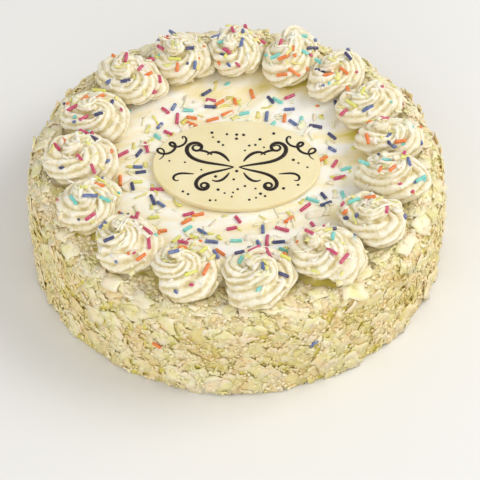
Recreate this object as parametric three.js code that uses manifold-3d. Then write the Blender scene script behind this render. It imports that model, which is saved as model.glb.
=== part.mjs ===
// A round birthday cake, in millimetres, standing on z = 0 with its front towards -Y.
// The drum is one solid: frosted cake with white-chocolate shavings pressed into its side, and rainbow
// sprinkles and a few shavings on its top. A ring of piped buttercream rosettes lies round the top's edge,
// each its own solid with its sprinkles, and an oval white-chocolate plaque lies in the middle.

import * as THREE from "three";
import { LoftGeometry } from "three/addons/geometries/LoftGeometry.js";
import { mergeVertices } from "three/addons/utils/BufferGeometryUtils.js";
import Module from "manifold-3d";

// Driving dimensions.
const icingRadius = 98.5; // the frosted side, under the shavings
const cakeHeight = 47.5; // to the flat top
const shoulderRadius = 9; // the rounded edge between side and top
const sideCrag = 1; // how far the crust of the side wanders in and out
const restGap = 0.3; // air between a topping and what it lies on

const ringRadius = 74; // the circle that the rosettes are piped on
const rosetteBearings = [10, 29, 49, 69, 90, 111, 135, 157, 180, 203, 227, 252, 278, 305, 330, 350];
const rosetteGap = 0.8; // air between two rosettes
const rosetteWidths = [33, 37]; // across the ring
const peakLeans = [0.5, 3.5]; // how far a rosette's peak leans over
const ropeRun = [
  { turn: 0, reach: 9.4, rise: 5.4, half: 6.2 },
  { turn: 0.75, reach: 8.8, rise: 6, half: 5.9 },
  { turn: 1.2, reach: 4.9, rise: 10.6, half: 4.8 },
  { turn: 1.7, reach: 2.8, rise: 13, half: 3.9 },
  { turn: 2.1, reach: 0, rise: 18, half: 0 },
]; // how a rope is piped into a rosette: its middle's reach and rise, and its half width
const coilTurns = ropeRun.at(-1).turn;
const stepsPerTurn = 12; // facets round a coil
const startLength = 0.18; // of a turn, in which the rope grows to its full width
const skinRows = 6; // three ridges and three grooves show
const rowAngle = 26; // degrees round the rope from one row to the next
const footAngles = [-48, -20]; // where the rows start, in the first turn and in the turns that lie on it
const footShare = 0.85; // of the rope's half width, from its middle out to where it meets the cake
const ridgeDepth = 0.14; // of the rope's half width

const plaqueLength = 80;
const plaqueWidth = 58.5;
const plaqueThickness = 2.6;

const sprinkleRadius = 0.85;
const shavingThickness = 1.1;
const shavingTilt = 0.32; // slope of a shaving against the side that it is pressed into
const sinkShare = 0.3; // of a sprinkle's radius, between its middle and what it lies on
const farOut = 200; // well clear of the cake, where things start on their way to its skin

const counts = { sideShavings: 52, rimShavings: 20, topShavings: 8, topSprinkles: 44, sideSprinkles: 6 };
const sprinklesPerRosette = 3;

// Each kind of thing is scattered by its own run of random numbers.
const seeds = {
  sideShavings: 11,
  rimShavings: 22,
  topShavings: 33,
  topSprinkles: 44,
  sideSprinkles: 55,
  rosettes: 16,
  rosetteSprinkles: 777,
};

const creamColour = "#f1e6c6";
const icingColour = "#eee3c0";
const plaqueColour = "#efe0a6";

const up = new THREE.Vector3(0, 0, 1);
const radians = THREE.MathUtils.degToRad;
const lerp = THREE.MathUtils.lerp;
const smoothstep = THREE.MathUtils.smoothstep;

const wasm = await Module();
wasm.setup();

// Draws numbers from 0 to 1, the same ones on every run.
function randomFrom(seed) {
  let state = seed;
  return () => {
    state = (state * 1664525 + 1013904223) % 4294967296;
    return state / 4294967296;
  };
}

function between(random, low, high) {
  return lerp(low, high, random());
}

// A closed geometry as a solid that can be joined and cut.
function solidOf(geometry) {
  const bare = new THREE.BufferGeometry().setAttribute("position", geometry.attributes.position);
  bare.setIndex(geometry.index);
  const merged = mergeVertices(bare, 1e-4);
  return new wasm.Manifold(
    new wasm.Mesh({
      numProp: 3,
      vertProperties: merged.attributes.position.array,
      triVerts: new Uint32Array(merged.index.array),
    }),
  );
}

function geometryOf(solid) {
  const { vertProperties, triVerts } = solid.getMesh();
  const geometry = new THREE.BufferGeometry();
  geometry.setAttribute("position", new THREE.BufferAttribute(vertProperties, 3));
  geometry.setIndex(new THREE.BufferAttribute(triVerts, 1));
  geometry.computeVertexNormals();
  return geometry;
}

function joined(geometries) {
  return geometries.map(solidOf).reduce((whole, piece) => whole.add(piece));
}

// Places a piece that was made lying along X with its back to -Z: outward is the surface it lies on.
function laidOn(geometry, point, outward, along) {
  const x = along.clone().projectOnPlane(outward).normalize();
  const y = new THREE.Vector3().crossVectors(outward, x);
  const place = new THREE.Matrix4().makeBasis(x, y, outward.clone().normalize()).setPosition(point);
  return geometry.applyMatrix4(place);
}

// Where something that moves from a point towards another comes to rest on a surface.
function landing(surface, from, towards) {
  const heading = towards.clone().sub(from).normalize();
  return new THREE.Raycaster(from, heading).intersectObject(surface)[0];
}

// A sprinkle is a short extruded sugar rod with cut ends.
function sprinkleGeometry(length) {
  const sides = 4;
  return new THREE.CylinderGeometry(sprinkleRadius, sprinkleRadius, length, sides).rotateZ(Math.PI / 2);
}

// A shaving is a thin, uneven chip, broader at one end than at the other.
function shavingGeometry(length, width, random) {
  const corners = 4;
  const outline = new THREE.Shape();
  for (let i = 0; i < corners; i++) {
    const angle = ((i + between(random, -0.25, 0.25)) / corners) * 2 * Math.PI;
    const reach = between(random, 0.8, 1.1) / 2;
    const point = [Math.cos(angle) * length * reach, Math.sin(angle) * width * reach];
    if (i === 0) outline.moveTo(...point);
    else outline.lineTo(...point);
  }
  const chip = new THREE.ExtrudeGeometry(outline, { depth: shavingThickness, bevelEnabled: false });
  return chip.translate(0, 0, -shavingThickness / 2);
}

// The drum's side wanders in and out, with bumps of the size of the shavings that crust it.
function sideRadius(bearing, height) {
  const slow = Math.sin(3 * bearing + 0.6) + 0.7 * Math.sin(7 * bearing + height / 9);
  const bumps = Math.sin(37 * bearing + height / 3) * Math.sin(height / 4 + 19 * bearing);
  return icingRadius + sideCrag * (0.3 * slow + bumps);
}

function drumGeometry() {
  const sideRings = 6;
  const shoulderSteps = 3;
  const profile = [new THREE.Vector2(0, 0)];
  for (let i = 0; i <= sideRings; i++) {
    profile.push(new THREE.Vector2(icingRadius, ((cakeHeight - shoulderRadius) * i) / sideRings));
  }
  for (let i = 1; i <= shoulderSteps; i++) {
    const angle = (i / shoulderSteps) * (Math.PI / 2);
    const x = icingRadius - shoulderRadius * (1 - Math.cos(angle));
    profile.push(new THREE.Vector2(x, cakeHeight - shoulderRadius * (1 - Math.sin(angle))));
  }
  profile.push(new THREE.Vector2(0, cakeHeight));
  const drum = new THREE.LatheGeometry(profile, 80).rotateX(Math.PI / 2);
  const places = drum.attributes.position;
  for (let i = 0; i < places.count; i++) {
    const [x, y, z] = [places.getX(i), places.getY(i), places.getZ(i)];
    const stretch = sideRadius(Math.atan2(y, x), z) / icingRadius;
    places.setXY(i, x * stretch, y * stretch);
  }
  return drum;
}

// Shavings stand in rows round the side, each shifted, turned and tilted by its own amount.
function sideShavings(drum, random) {
  const rows = 4;
  const perRow = counts.sideShavings / rows;
  const chips = [];
  for (let i = 0; i < counts.sideShavings; i++) {
    const row = i % rows;
    const column = Math.floor(i / rows);
    const bearing = ((column + row / 2 + between(random, -0.35, 0.35)) / perRow) * 2 * Math.PI;
    const height = 4 + ((row + between(random, -0.3, 0.3)) * (cakeHeight - shoulderRadius - 6)) / (rows - 1);
    const outward = new THREE.Vector3(Math.cos(bearing), Math.sin(bearing), 0);
    const sideways = new THREE.Vector3(-Math.sin(bearing), Math.cos(bearing), 0);
    const turn = between(random, 0, Math.PI);
    const along = sideways.clone().multiplyScalar(Math.cos(turn)).addScaledVector(up, Math.sin(turn));
    const facing = outward.clone().addScaledVector(sideways, between(random, -shavingTilt, shavingTilt));
    facing.addScaledVector(up, between(random, -shavingTilt, shavingTilt));
    const axis = new THREE.Vector3(0, 0, height);
    const { point } = landing(drum, axis.clone().addScaledVector(outward, farOut), axis);
    const chip = shavingGeometry(between(random, 11, 18), between(random, 7, 11), random);
    chips.push(laidOn(chip, point, facing.normalize(), along));
  }
  return chips;
}

// More shavings lie over the rounded shoulder, outside the rosettes.
function rimShavings(drum, random) {
  const chips = [];
  for (let i = 0; i < counts.rimShavings; i++) {
    const bearing = ((i + between(random, -0.3, 0.3)) / counts.rimShavings) * 2 * Math.PI;
    const slope = radians(between(random, 20, 42));
    const outward = new THREE.Vector3(Math.cos(bearing), Math.sin(bearing), 0);
    const facing = outward.clone().multiplyScalar(Math.cos(slope)).addScaledVector(up, Math.sin(slope));
    const middle = outward.clone().multiplyScalar(icingRadius - shoulderRadius);
    middle.z = cakeHeight - shoulderRadius;
    const { point } = landing(drum, middle.clone().addScaledVector(facing, farOut), middle);
    const along = new THREE.Vector3(-Math.sin(bearing), Math.cos(bearing), between(random, -0.4, 0.4));
    const chip = shavingGeometry(between(random, 9, 13), between(random, 4.5, 6.5), random);
    chips.push(laidOn(chip, point, facing, along));
  }
  return chips;
}

function rosetteCentre(bearing) {
  return new THREE.Vector3(ringRadius, 0, 0).applyAxisAngle(up, radians(bearing));
}

// Whether a round patch of the top, at x and y, is clear of the plaque and of every rosette.
function isClear(x, y, reach) {
  const margin = reach + 0.5;
  if (Math.hypot(x / (plaqueLength / 2 + margin), y / (plaqueWidth / 2 + margin)) < 1) return false;
  return rosetteBearings.every((bearing) => {
    const centre = rosetteCentre(bearing);
    return Math.hypot(x - centre.x, y - centre.y) > rosetteWidths[1] / 2 + margin;
  });
}

// Draws places on the open top until there are enough of them, each apart from those before.
function topPlaces(random, count, reach, apart) {
  const places = [];
  while (places.length < count) {
    const radius = ringRadius * Math.sqrt(random());
    const bearing = random() * 2 * Math.PI;
    const [x, y] = [radius * Math.cos(bearing), radius * Math.sin(bearing)];
    const crowded = places.some((other) => Math.hypot(other.x - x, other.y - y) < apart);
    if (isClear(x, y, reach) && !crowded) places.push(new THREE.Vector3(x, y, cakeHeight));
  }
  return places;
}

function topSprinkles(random) {
  return topPlaces(random, counts.topSprinkles, 3.4, 3.2).map((place) => {
    const along = new THREE.Vector3(1, 0, 0).applyAxisAngle(up, random() * Math.PI);
    const length = between(random, 4.4, 6.8);
    place.z += sprinkleRadius * sinkShare;
    return laidOn(sprinkleGeometry(length), place, up, along);
  });
}

function topShavings(random) {
  return topPlaces(random, counts.topShavings, 4.2, 9).map((place) => {
    const along = new THREE.Vector3(1, 0, 0).applyAxisAngle(up, random() * Math.PI);
    const facing = new THREE.Vector3(between(random, -0.2, 0.2), between(random, -0.2, 0.2), 1).normalize();
    place.z += shavingThickness * 0.2;
    const chip = shavingGeometry(between(random, 6, 8.5), between(random, 3, 5), random);
    return laidOn(chip, place, facing, along);
  });
}

function sideSprinkles(drum, random) {
  const rods = [];
  for (let i = 0; i < counts.sideSprinkles; i++) {
    const bearing = ((i + random()) / counts.sideSprinkles) * 2 * Math.PI;
    const height = between(random, 20, cakeHeight - shoulderRadius);
    const outward = new THREE.Vector3(Math.cos(bearing), Math.sin(bearing), 0);
    const along = new THREE.Vector3(-Math.sin(bearing), Math.cos(bearing), between(random, -1, 1));
    const axis = new THREE.Vector3(0, 0, height);
    const { point } = landing(drum, axis.clone().addScaledVector(outward, farOut), axis);
    rods.push(laidOn(sprinkleGeometry(between(random, 4.4, 6.4)), point, outward, along));
  }
  return rods;
}

// What is stuck to the drum is cut off level with its underside.
function cakeBody() {
  const underside = new THREE.BoxGeometry(260, 260, 20).translate(0, 0, -10);
  const drum = new THREE.Mesh(drumGeometry());
  const pieces = [
    drum.geometry,
    ...sideShavings(drum, randomFrom(seeds.sideShavings)),
    ...rimShavings(drum, randomFrom(seeds.rimShavings)),
    ...topShavings(randomFrom(seeds.topShavings)),
    ...topSprinkles(randomFrom(seeds.topSprinkles)),
    ...sideSprinkles(drum, randomFrom(seeds.sideSprinkles)),
  ];
  return geometryOf(joined(pieces).subtract(solidOf(underside)));
}

// Where the rope's middle lies and how thick it is, a number of turns from its outer start.
function ropeAt(turn, rosette) {
  const next = Math.max(ropeRun.findIndex((key) => key.turn >= turn), 1);
  const [low, high] = [ropeRun[next - 1], ropeRun[next]];
  const share = (turn - low.turn) / (high.turn - low.turn);
  return {
    reach: lerp(low.reach, high.reach, share),
    rise: lerp(low.rise, high.rise, share) * rosette.lift,
    half: lerp(low.half, high.half, share),
  };
}

// Where the rope meets the cake, in the plane that stands on the rosette's middle.
function footOnCake(turn, rosette) {
  const { reach, half } = ropeAt(turn, rosette);
  return new THREE.Vector3(reach + half * footShare, 0, 0);
}

// A point of the coil's skin. Even rows are grooves and odd ones ridges. Row 0 is the rope's foot, which
// stands on the cake in the first turn, and after that lies in the groove above the turn below it.
function skinPoint(step, row, rosette) {
  const turn = Math.min(step / stepsPerTurn, coilTurns);
  const { reach, rise, half } = ropeAt(turn, rosette);
  const climbed = smoothstep(turn, 0.75, 1.15);
  const angle = radians(lerp(...footAngles, climbed) + row * rowAngle);
  const share = half * (row % 2 ? 1 + ridgeDepth : 1 - ridgeDepth);
  const point = new THREE.Vector3(reach + share * Math.cos(angle), 0, rise + share * Math.sin(angle));
  if (row === 0) point.lerp(footOnCake(turn, rosette), 1 - smoothstep(turn - 1, 0, startLength));
  else point.lerp(footOnCake(1, rosette), 1 - smoothstep(turn, 0, startLength));
  return point.applyAxisAngle(up, rosette.start + 2 * Math.PI * turn);
}

// The coil is one strip wound inwards and up: its last row is the foot of the turn that follows.
function coilGeometry(rosette) {
  const steps = Math.ceil(coilTurns * stepsPerTurn);
  const sections = [];
  for (let step = 0; step <= steps; step++) {
    const foot = skinPoint(step || stepsPerTurn, 0, rosette);
    const section = [skinPoint(step + stepsPerTurn, 0, rosette)];
    for (let row = skinRows - 1; row > 0; row--) section.push(skinPoint(step, row, rosette));
    section.push(foot, step < stepsPerTurn ? new THREE.Vector3() : foot);
    sections.push(section);
  }
  return new LoftGeometry(sections, { closed: false });
}

// The soft coil leans over, more and more towards its peak.
function leaned(geometry, rosette) {
  const peak = ropeRun.at(-1).rise;
  const places = geometry.attributes.position;
  for (let i = 0; i < places.count; i++) {
    const shift = rosette.lean * (places.getZ(i) / peak) ** 2;
    const [x, y] = [places.getX(i), places.getY(i)];
    places.setXY(i, x + shift * Math.cos(rosette.leansTo), y + shift * Math.sin(rosette.leansTo));
  }
  return geometry;
}

// Fits a rosette to its width across the ring and its length along it, and sets it in its place.
function placed(geometry, rosette) {
  geometry.computeBoundingBox();
  const { min, max } = geometry.boundingBox;
  geometry.translate(-(min.x + max.x) / 2, -(min.y + max.y) / 2, 0);
  geometry.scale(rosette.width / (max.x - min.x), rosette.length / (max.y - min.y), 1);
  geometry.rotateZ(radians(rosette.bearing));
  const centre = rosetteCentre(rosette.bearing);
  return geometry.translate(centre.x, centre.y, cakeHeight + restGap);
}

// Sprinkles that fell on a rosette lie on the slope that they landed on.
function rosetteSprinkles(geometry, rosette, random) {
  const surface = new THREE.Mesh(geometry);
  const centre = rosetteCentre(rosette.bearing);
  const rods = [];
  for (let i = 0; i < sprinklesPerRosette; i++) {
    const bearing = ((i + between(random, -0.3, 0.3)) / sprinklesPerRosette) * 2 * Math.PI;
    const share = between(random, 0.1, 0.32);
    const along = new THREE.Vector3(1, 0, 0).applyAxisAngle(up, random() * Math.PI);
    const length = between(random, 4.2, 6.2);
    const across = share * rosette.width * Math.cos(bearing);
    const round = share * rosette.length * Math.sin(bearing);
    const below = new THREE.Vector3(across, round, 0);
    below.applyAxisAngle(up, radians(rosette.bearing)).add(centre);
    const hit = landing(surface, below.clone().addScaledVector(up, farOut), below);
    const facing = hit.face.normal.clone().add(up).normalize();
    const point = hit.point.clone().addScaledVector(facing, sprinkleRadius * sinkShare);
    rods.push(laidOn(sprinkleGeometry(length), point, facing, along));
  }
  return rods;
}

// Each rosette starts its coil elsewhere, and rises and leans by its own amount. It fills its wedge of the
// ring, from halfway to the rosette before it to halfway to the one after.
function rosettes() {
  const random = randomFrom(seeds.rosettes);
  const count = rosetteBearings.length;
  return rosetteBearings.map((peak, i) => {
    const before = ((rosetteBearings[(i + count - 1) % count] - peak - 360) % 360) / 2;
    const after = ((rosetteBearings[(i + 1) % count] - peak + 360) % 360) / 2;
    const width = between(random, ...rosetteWidths);
    const inner = Math.sqrt(ringRadius ** 2 - (width / 2) ** 2);
    return {
      bearing: peak + (before + after) / 2,
      start: random() * 2 * Math.PI,
      lift: between(random, 0.93, 1.07),
      leansTo: random() * 2 * Math.PI,
      lean: between(random, ...peakLeans),
      width,
      length: 2 * inner * Math.tan(radians(after - before) / 2) - rosetteGap,
    };
  });
}

function plaqueGeometry() {
  const edge = 0.7;
  const outline = new THREE.Shape();
  outline.absellipse(0, 0, plaqueLength / 2 - edge, plaqueWidth / 2 - edge, 0, 2 * Math.PI);
  const plate = new THREE.ExtrudeGeometry(outline, {
    depth: plaqueThickness - 2 * edge,
    bevelSize: edge,
    bevelThickness: edge,
    bevelSegments: 1,
    curveSegments: 17,
  });
  return plate.translate(0, 0, cakeHeight + restGap + edge);
}

function named(name, geometry, color, roughness) {
  const mesh = new THREE.Mesh(geometry, new THREE.MeshStandardMaterial({ color, roughness, metalness: 0 }));
  mesh.name = name;
  return mesh;
}

const cake = new THREE.Group();
cake.add(named("cake_body", cakeBody(), icingColour, 0.6));
cake.add(named("chocolate_plaque", plaqueGeometry(), plaqueColour, 0.35));

const sprinkleRandom = randomFrom(seeds.rosetteSprinkles);
rosettes().forEach((rosette, i) => {
  const plain = placed(leaned(coilGeometry(rosette), rosette), rosette);
  const rods = rosetteSprinkles(plain, rosette, sprinkleRandom);
  const name = `rosette_${String(i + 1).padStart(2, "0")}`;
  cake.add(named(name, geometryOf(joined([plain, ...rods])), creamColour, 0.55));
});

export default cake;
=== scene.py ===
# %% [markdown]
# # A birthday cake with piped rosettes
#
# This lesson dresses the plain solids of a birthday cake: a drum of frosted sponge with a crust of
# white-chocolate shavings, a ring of buttercream rosettes, sugar sprinkles and an oval plaque of white
# chocolate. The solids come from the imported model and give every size. Each piece made here replaces a
# solid and keeps its place and form.

# %% Tools and the frame
import math

import bmesh
import bpy
import numpy as np
from mathutils import Matrix, Vector, noise
from mathutils.bvhtree import BVHTree


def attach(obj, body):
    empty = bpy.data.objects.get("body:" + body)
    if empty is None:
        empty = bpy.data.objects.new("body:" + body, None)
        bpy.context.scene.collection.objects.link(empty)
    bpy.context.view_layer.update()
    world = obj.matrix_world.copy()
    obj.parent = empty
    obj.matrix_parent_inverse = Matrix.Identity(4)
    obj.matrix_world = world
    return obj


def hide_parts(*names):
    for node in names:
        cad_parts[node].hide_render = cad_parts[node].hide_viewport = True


MM = 0.001
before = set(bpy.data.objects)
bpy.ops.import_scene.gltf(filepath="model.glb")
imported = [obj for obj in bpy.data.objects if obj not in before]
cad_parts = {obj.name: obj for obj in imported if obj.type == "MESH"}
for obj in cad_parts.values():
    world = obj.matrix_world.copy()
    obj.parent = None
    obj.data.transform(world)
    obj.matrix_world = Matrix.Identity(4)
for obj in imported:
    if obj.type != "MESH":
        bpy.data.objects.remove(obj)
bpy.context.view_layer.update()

# %% [markdown]
# ## Sizes
#
# The solids were worked out from a few driving sizes, in millimetres. The same sizes are repeated here, so
# that a finer shape can follow the same rule. A rosette's rope is described by a few stations along its
# run: how many turns it has made, how far it lies from the rosette's middle, how high, and how thick it is
# there.

# %% Sizes
ICING_RADIUS = 98.5
CAKE_HEIGHT = 47.5
SHOULDER = 9.0
SIDE_CRAG = 1.0
RING_RADIUS = 74.0
REST_GAP = 0.3
BEARINGS = [10, 29, 49, 69, 90, 111, 135, 157, 180, 203, 227, 252, 278, 305, 330, 350]
ROSETTE_GAP = 0.8
ROSETTE_WIDTHS = (33.0, 37.0)
PEAK_LEANS = (0.5, 3.5)
ROPE_TURNS = [0, 0.75, 1.2, 1.7, 2.1]
ROPE_REACHES = [9.4, 8.8, 4.9, 2.8, 0]
ROPE_RISES = [5.4, 6, 10.6, 13, 18]
ROPE_HALVES = [6.2, 5.9, 4.8, 3.9, 0]
PLAQUE = (80.0, 58.5, 2.6)
SPRINKLE_RADIUS = 0.85
UP = Vector((0, 0, 1))

# %% [markdown]
# ## Random numbers that repeat
#
# Food looks real when nothing in it is even, but a script has to give the same cake on every run. This
# small generator is the one that scattered the solids' own shavings and sprinkles, so the same seeds give
# the same places. Blender's noise vectors take their seed from the clock unless it is set, so it is set
# too.

# %% Random numbers
NOISE_SEED = 7
noise.seed_set(NOISE_SEED)


def random_from(seed):
    """Draws numbers from 0 to 1, the same ones on every run."""
    state = seed
    while True:
        state = (state * 1664525 + 1013904223) % 4294967296
        yield state / 4294967296


def between(draws, low, high):
    """The next draw, spread from low to high."""
    return low + (high - low) * next(draws)


def around(bearing):
    """The level direction at a bearing, in radians."""
    return Vector((math.cos(bearing), math.sin(bearing), 0))


# %% [markdown]
# ## Helpers for materials
#
# A colour is picked from a picture as an sRGB hex value, but a shader computes with linear light, so one
# function turns the first into the second. Another turns the size of a mark in millimetres into the scale
# that draws it. The third adds a node to a material, with its settings, its links and, for a colour ramp,
# its stops, which keeps each material below short enough to read.

# %% Material helpers
def linear(hex_colour):
    """An sRGB hex colour as linear red, green, blue and alpha."""
    channels = [int(hex_colour[i : i + 2], 16) / 255 for i in (1, 3, 5)]
    return [c / 12.92 if c <= 0.04045 else ((c + 0.055) / 1.055) ** 2.4 for c in channels] + [1.0]


def scale_for(size_mm):
    """The noise scale that draws marks of a size, as a scale counts marks in a metre."""
    return 1000 / size_mm


def add_node(tree, kind, settings, inputs, stops=()):
    """Adds a node, sets or links its sockets, and gives a colour ramp its stops."""
    node = tree.nodes.new(kind)
    for name, value in settings.items():
        setattr(node, name, value)
    for name, value in inputs.items():
        if isinstance(value, bpy.types.NodeSocket):
            tree.links.new(value, node.inputs[name])
        else:
            node.inputs[name].default_value = value
    while stops and len(node.color_ramp.elements) < len(stops):
        node.color_ramp.elements.new(0.5)
    for i, (position, colour) in enumerate(stops):
        node.color_ramp.elements[i].position = position
        node.color_ramp.elements[i].color = linear(colour)
    return node


def new_material(name, **finish):
    """A material with one Principled shader, whose uniform values are given by socket name."""
    material = bpy.data.materials.new(name)
    material.use_nodes = True
    shader = material.node_tree.nodes["Principled BSDF"]
    for socket, value in finish.items():
        shader.inputs[socket.replace("_", " ")].default_value = value
    return material, material.node_tree, shader


# %% [markdown]
# ## Buttercream
#
# Piped buttercream is butter beaten with sugar: an opaque cream colour, with light that sinks in a little
# and comes out warmer. So the grooves between two ropes look yellow rather than grey. Subsurface scattering
# gives that warmth. The mesh carries an attribute that is high in grooves, and the colour follows it as
# painted shade: grooves are painted darker and yellower, and ridges paler, partly the cream's own colour and
# partly painted highlight. Air bubbles and sugar grains of about 0.4 mm break the gloss. They are too fine
# to show here, so the bump draws them 0.8 mm across.

# %% Buttercream
def buttercream(name, crown, body, groove_shade):
    """Whipped butter and sugar, coloured from its ridges to its grooves."""
    material, tree, shader = new_material(
        name,
        Roughness=0.5,
        Subsurface_Weight=0.35,
        Subsurface_Scale=0.0015,
        Subsurface_Radius=(1.0, 0.85, 0.55),
        IOR=1.45,
    )
    place = add_node(tree, "ShaderNodeTexCoord", {}, {}).outputs["Object"]
    crease_shade = add_node(tree, "ShaderNodeAttribute", {"attribute_name": "crease_shade"}, {}).outputs["Fac"]
    mottle = add_node(
        tree, "ShaderNodeTexNoise", {}, {"Vector": place, "Scale": scale_for(6), "Detail": 4.0}
    )
    shift = add_node(
        tree, "ShaderNodeMath", {"operation": "MULTIPLY_ADD"}, {0: mottle.outputs["Fac"], 1: 0.5, 2: crease_shade}
    )
    # From paler ridges, partly painted highlight, down to painted shade in the grooves.
    stops = [(0.45, crown), (0.72, body), (1.0, groove_shade)]
    colours = add_node(tree, "ShaderNodeValToRGB", {}, {"Fac": shift.outputs[0]}, stops)
    tree.links.new(colours.outputs["Color"], shader.inputs["Base Color"])
    bubbles = add_node(
        tree, "ShaderNodeTexNoise", {}, {"Vector": place, "Scale": scale_for(0.8), "Detail": 3.0}
    )
    bump = add_node(
        tree,
        "ShaderNodeBump",
        {},
        {"Height": bubbles.outputs["Fac"], "Strength": 0.25, "Distance": 0.0003},
    )
    tree.links.new(bump.outputs["Normal"], shader.inputs["Normal"])
    return material


piped_cream = buttercream("piped_buttercream", "#F5EFDE", "#EAE0C0", "#D3C390")


# %% [markdown]
# ## White chocolate
#
# White chocolate is cocoa butter, milk and sugar: cream yellow, a little translucent, with a soft gloss
# where it set against something smooth. The shavings were scraped off a block, so they are duller and each
# one takes a slightly different tint, which comes from an attribute named shade. That attribute also carries
# painted light and shade: what lies deep in the crust is painted darker and yellower, and what stands out is
# painted paler. A broad noise multiplies that tint, so that patches about 7 mm across are faintly pink or
# faintly green. A crust in one hue looks like plastic.

# %% White chocolate
def shaved_chocolate(name, stops):
    """Scraped white chocolate: every shaving has its own tint."""
    material, tree, shader = new_material(
        name,
        Roughness=0.6,
        Subsurface_Weight=0.3,
        Subsurface_Scale=0.0008,
        Subsurface_Radius=(1.0, 0.9, 0.75),
        IOR=1.46,
    )
    place = add_node(tree, "ShaderNodeTexCoord", {}, {}).outputs["Object"]
    shade = add_node(tree, "ShaderNodeAttribute", {"attribute_name": "shade"}, {}).outputs["Fac"]
    grain = add_node(
        tree, "ShaderNodeTexNoise", {}, {"Vector": place, "Scale": scale_for(3), "Detail": 5.0}
    )
    tint = add_node(
        tree, "ShaderNodeMath", {"operation": "MULTIPLY_ADD"}, {0: grain.outputs["Fac"], 1: 0.3, 2: shade}
    )
    colours = add_node(tree, "ShaderNodeValToRGB", {}, {"Fac": tint.outputs[0]}, stops)
    patches = add_node(
        tree, "ShaderNodeTexNoise", {}, {"Vector": place, "Scale": scale_for(7), "Detail": 2.0}
    )
    tinges = [(0.38, "#FFF6F4"), (0.5, "#FFFFFF"), (0.64, "#F8FAE0")]
    hues = add_node(tree, "ShaderNodeValToRGB", {}, {"Fac": patches.outputs["Fac"]}, tinges)
    # A Mix node has sockets for each type of data. Its factor is 0, and its colours are 6, 7 and output 2.
    blend = {"data_type": "RGBA", "blend_type": "MULTIPLY"}
    tinged = add_node(
        tree, "ShaderNodeMix", blend, {0: 1.0, 6: colours.outputs["Color"], 7: hues.outputs["Color"]}
    )
    tree.links.new(tinged.outputs[2], shader.inputs["Base Color"])
    bump = add_node(
        tree, "ShaderNodeBump", {}, {"Height": grain.outputs["Fac"], "Strength": 0.3, "Distance": 0.0004}
    )
    tree.links.new(bump.outputs["Normal"], shader.inputs["Normal"])
    return material


# The darkest, olive stop is painted shade for the crevices, and the palest is painted light on what stands
# out.
crust_shavings = shaved_chocolate(
    "scraped_white_chocolate", [(0.08, "#C4B048"), (0.3, "#DDCA80"), (0.6, "#EAD9A2"), (1.0, "#F5EBCA")]
)
# A paler copy of the crust's chocolate for the ledge and the rim: painted light on the lit top.
lit_ledge_shavings = shaved_chocolate(
    "pale_lit_scraped_white_chocolate", [(0.1, "#E3D08A"), (0.4, "#EEDEA8"), (1.0, "#F9F0D2")]
)
top_shavings = shaved_chocolate("fine_scraped_white_chocolate", [(0.2, "#F3E9C4"), (0.8, "#FCF7E6")])
lemon_shavings = shaved_chocolate("lemon_white_chocolate", [(0.2, "#DDD565"), (0.8, "#EFE99A")])


# %% [markdown]
# ## Pieces
#
# Every piece is a mesh whose object sits at the origin, with its place in its vertices. It rides on the
# cake's one body, and the solids it stands for are hidden. Scattered things are joined into one mesh from
# arrays: a few dozen kinds are modelled once, and each place takes a turned copy of one of them. A thing
# that would reach below the table is lifted until it stands on it, as a real crumb would.

# %% Making pieces
DEEPEST_SHADE = 0.15
OWN_SHADE = 0.35
PAINTED_SHADE_PER_MM = 0.2


def new_piece(name, mesh, material, slot, *nodes):
    """Shows a mesh as a piece of the cake that replaces some of its solids."""
    mesh.materials.clear()
    mesh.materials.append(material)
    mesh.shade_smooth()
    piece = bpy.data.objects.new(name, mesh)
    bpy.context.scene.collection.objects.link(piece)
    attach(piece, "root")
    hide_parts(*nodes)
    return piece


def mesh_of(bm, name):
    """Turns a bmesh into a mesh whose faces point outwards."""
    bmesh.ops.recalc_face_normals(bm, faces=bm.faces)
    mesh = bpy.data.meshes.new(name)
    bm.to_mesh(mesh)
    bm.free()
    return mesh


def arrays_of(bm):
    """A closed shape's points and triangles as arrays, so that many copies can be joined quickly."""
    bmesh.ops.recalc_face_normals(bm, faces=bm.faces)
    bmesh.ops.triangulate(bm, faces=bm.faces)
    points = np.array([vert.co for vert in bm.verts])
    faces = np.array([[vert.index for vert in face.verts] for face in bm.faces])
    bm.free()
    return points, faces


def out_of_drum(points):
    """How far points stand out of the plain drum with its rounded edge, in mm."""
    across = np.hypot(points[:, 0], points[:, 1]) - (ICING_RADIUS - SHOULDER)
    above = points[:, 2] - (CAKE_HEIGHT - SHOULDER)
    within = np.minimum(np.maximum(across, above), 0)
    return np.hypot(np.maximum(across, 0), np.maximum(above, 0)) + within - SHOULDER


def scattered(name, kinds, places):
    """Joins one copy of a kind at each place. A place is a kind's number, a matrix and a shade.

    What stands further out of the drum is painted paler, and what lies deeper in is painted darker and
    yellower, as painted shade.
    """
    points, faces, shades = [], [], []
    count = 0
    for number, matrix, shade in places:
        shape, triangles = kinds[number % len(kinds)]
        turned = shape @ np.array(matrix.to_3x3()).T + np.array(matrix.translation)
        turned[:, 2] -= min(turned[:, 2].min(), 0)
        points.append(turned)
        faces.append(triangles + count)
        # Painted light and shade: paler the further a point stands out of the drum, darker and yellower
        # deeper in.
        painted_depth_shade = PAINTED_SHADE_PER_MM * np.clip(out_of_drum(turned), -0.5, 2.5)
        shades.append(DEEPEST_SHADE + OWN_SHADE * shade + painted_depth_shade)
        count += len(turned)
    every_face = np.concatenate(faces)
    mesh = bpy.data.meshes.new(name)
    mesh.from_pydata(np.concatenate(points) * MM, [], every_face)
    mesh.attributes.new("shade", "FLOAT", "POINT").data.foreach_set("value", np.concatenate(shades))
    print(f"{name}: {len(places)} pieces, {len(every_face)} triangles")
    return mesh


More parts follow.
